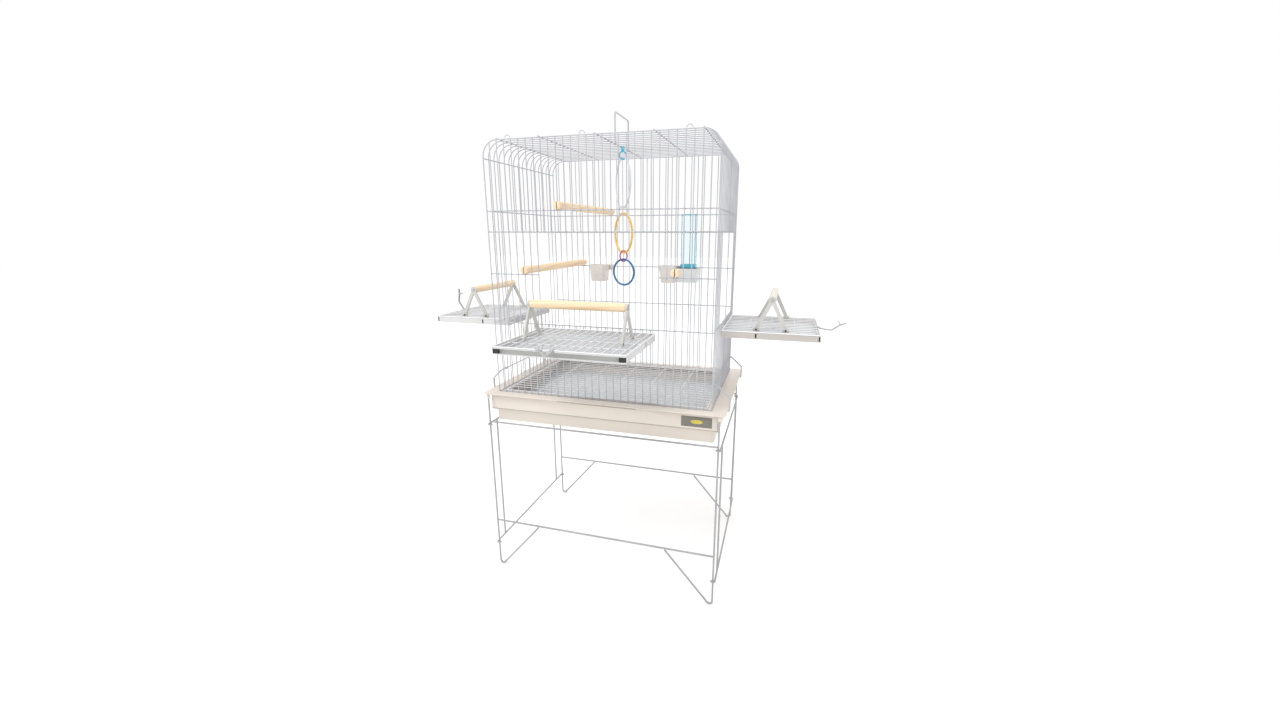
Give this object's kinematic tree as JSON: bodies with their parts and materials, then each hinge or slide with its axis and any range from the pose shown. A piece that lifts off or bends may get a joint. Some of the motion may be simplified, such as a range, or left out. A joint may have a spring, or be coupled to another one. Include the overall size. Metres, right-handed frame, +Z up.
{
  "type": "bird cage on stand",
  "caption": "Rectangular wire bird cage with fold-down doors, cups, perches and a hanging toy, on a plastic drawer base and a wire stand.",
  "frame": {"origin": "on the floor, under the middle of the cage", "axes": "+Z up, +X to the viewer's right as one faces the cage's front, -Y to the front"},
  "size_m": [1.1792, 0.7459, 1.286],
  "materials": {
    "white_wire": "satin white powder coat",
    "cream_base": "satin moulded cream plastic",
    "tray_white": "satin moulded white-grey plastic",
    "tray_cap": "matt black",
    "pine": "bare sanded pine",
    "bracket_white": "satin moulded off-white",
    "screw_steel": "zinc plated",
    "latch_white": "smooth white",
    "cup_beige": "smooth warm grey",
    "trough_grey": "smooth light grey",
    "tube_blue": "clear light-blue plastic",
    "collar_teal": "smooth teal",
    "toy_teal": "smooth teal",
    "toy_white": "smooth white",
    "toy_yellow": "smooth yellow",
    "toy_red": "smooth red",
    "toy_blue": "smooth blue",
    "label_grey": "matt grey"
  },
  "bodies": {
    "cage": {"stand_front_frame": "white_wire", "stand_back_frame": "white_wire", "stand_left_frame": "white_wire", "stand_right_frame": "white_wire", "base_pan": "cream_base", "floor_grate": "white_wire", "front_wall": "white_wire", "back_wall": "white_wire", "left_wall": "white_wire", "right_wall": "white_wire", "roof_panel": "white_wire", "roof_clips": "white_wire", "upper_perch": "pine", "lower_perch": "pine", "stub_perch": "pine", "toy_hook": "toy_teal"},
    "drawer": {"litter_drawer": "cream_base", "label_plate": "label_grey"},
    "front_door": {"front_door_grid": "white_wire", "front_door_tray": "tray_white", "front_tray_end_caps": "tray_cap", "front_perch_bracket_1": "bracket_white", "front_perch_bracket_2": "bracket_white", "front_door_perch": "pine", "front_perch_screws": "screw_steel"},
    "front_latch": {"front_door_latch": "latch_white"},
    "left_door": {"left_door_grid": "white_wire", "left_door_tray": "tray_white", "left_tray_end_caps": "tray_cap", "left_perch_bracket_1": "bracket_white", "left_perch_bracket_2": "bracket_white", "left_door_perch": "pine", "left_perch_screws": "screw_steel"},
    "left_latch": {"left_door_latch": "latch_white"},
    "right_door": {"right_door_grid": "white_wire", "right_door_tray": "tray_white", "right_tray_end_caps": "tray_cap", "right_perch_bracket_1": "bracket_white", "right_perch_bracket_2": "bracket_white", "right_door_perch": "pine", "right_perch_screws": "screw_steel"},
    "right_latch": {"right_door_latch": "latch_white"},
    "handle": {"carry_handle": "white_wire"},
    "clip_left_front": {"base_clip_left_front": "white_wire"},
    "clip_left_back": {"base_clip_left_back": "white_wire"},
    "clip_right_front": {"base_clip_right_front": "white_wire"},
    "clip_right_back": {"base_clip_right_back": "white_wire"},
    "cup_left": {"feeding_cup_left": "cup_beige"},
    "cup_right": {"feeding_cup_right": "cup_beige"},
    "trough": {"drinker_trough": "trough_grey"},
    "tube": {"drinker_tube": "tube_blue", "drinker_collar": "collar_teal"},
    "white_ring": {"toy_white_ring": "toy_white"},
    "link": {"toy_link": "toy_white"},
    "yellow_ring": {"toy_yellow_ring": "toy_yellow"},
    "red_ring": {"toy_red_ring": "toy_red"},
    "blue_ring": {"toy_blue_ring": "toy_blue"}
  },
  "joints": [
    {"name": "drawer_slide", "type": "slide", "parent": "cage", "child": "drawer", "axis": [0, -1, 0], "range_m": [0, 0.35]},
    {"name": "front_door_hinge", "type": "hinge", "parent": "cage", "child": "front_door", "pos_m": [0, -0.19735, 0.743], "axis": [-1, 0, 0], "range_deg": [0, 90]},
    {"name": "front_latch_pivot", "type": "hinge", "parent": "front_door", "child": "front_latch", "pos_m": [-0.01, -0.44685, 0.7362], "axis": [-1, 0, 0], "range_deg": [-30, 70]},
    {"name": "left_door_hinge", "type": "hinge", "parent": "cage", "child": "left_door", "pos_m": [-0.29735, 0.0125, 0.743], "axis": [0, 1, 0], "range_deg": [0, 90]},
    {"name": "left_latch_pivot", "type": "hinge", "parent": "left_door", "child": "left_latch", "pos_m": [-0.54685, 0.0125, 0.7362], "axis": [0, 1, 0], "range_deg": [-95, 5]},
    {"name": "right_door_hinge", "type": "hinge", "parent": "cage", "child": "right_door", "pos_m": [0.29735, 0.0125, 0.743], "axis": [0, -1, 0], "range_deg": [0, 90]},
    {"name": "right_latch_pivot", "type": "hinge", "parent": "right_door", "child": "right_latch", "pos_m": [0.54685, -0.0125, 0.7362], "axis": [0, -1, 0], "range_deg": [-30, 70]},
    {"name": "handle_pivot", "type": "hinge", "parent": "cage", "child": "handle", "pos_m": [0, 0, 1.2059], "axis": [0, 1, 0], "range_deg": [-80, 80]},
    {"name": "clip_left_front_pivot", "type": "hinge", "parent": "cage", "child": "clip_left_front", "pos_m": [-0.29735, -0.1625, 0.604], "axis": [0, 1, 0], "range_deg": [0, 100]},
    {"name": "clip_left_back_pivot", "type": "hinge", "parent": "cage", "child": "clip_left_back", "pos_m": [-0.29735, 0.1625, 0.604], "axis": [0, 1, 0], "range_deg": [0, 100]},
    {"name": "clip_right_front_pivot", "type": "hinge", "parent": "cage", "child": "clip_right_front", "pos_m": [0.29735, -0.1625, 0.604], "axis": [0, -1, 0], "range_deg": [0, 100]},
    {"name": "clip_right_back_pivot", "type": "hinge", "parent": "cage", "child": "clip_right_back", "pos_m": [0.29735, 0.1625, 0.604], "axis": [0, -1, 0], "range_deg": [0, 100]},
    {"name": "cup_left_lift", "type": "slide", "parent": "cage", "child": "cup_left", "axis": [0, 0, 1], "range_m": [0, 0.02]},
    {"name": "cup_right_lift", "type": "slide", "parent": "cage", "child": "cup_right", "axis": [0, 0, 1], "range_m": [0, 0.02]},
    {"name": "trough_lift", "type": "slide", "parent": "cage", "child": "trough", "axis": [0, 0, 1], "range_m": [0, 0.02]},
    {"name": "tube_lift", "type": "slide", "parent": "trough", "child": "tube", "axis": [0, 0, 1], "range_m": [0, 0.06]},
    {"name": "white_ring_swing", "type": "hinge", "parent": "cage", "child": "white_ring", "pos_m": [0.006, 0, 1.1735], "axis": [0.8192, 0.5736, 0], "range_deg": [-10, 10]},
    {"name": "link_swing", "type": "hinge", "parent": "white_ring", "child": "link", "pos_m": [0.006, 0, 1.0458], "axis": [-0.5736, 0.8192, 0], "range_deg": [-15, 15]},
    {"name": "yellow_ring_swing", "type": "hinge", "parent": "link", "child": "yellow_ring", "pos_m": [0.006, 0, 1.02635], "axis": [0.8192, 0.5736, 0], "range_deg": [-10, 10]},
    {"name": "red_ring_swing", "type": "hinge", "parent": "yellow_ring", "child": "red_ring", "pos_m": [0.006, 0, 0.9239], "axis": [-0.6947, 0.7193, 0], "range_deg": [-15, 15]},
    {"name": "blue_ring_swing", "type": "hinge", "parent": "red_ring", "child": "blue_ring", "pos_m": [0.006, 0, 0.8997], "axis": [0.4067, 0.9135, 0], "range_deg": [-15, 15]}
  ]
}
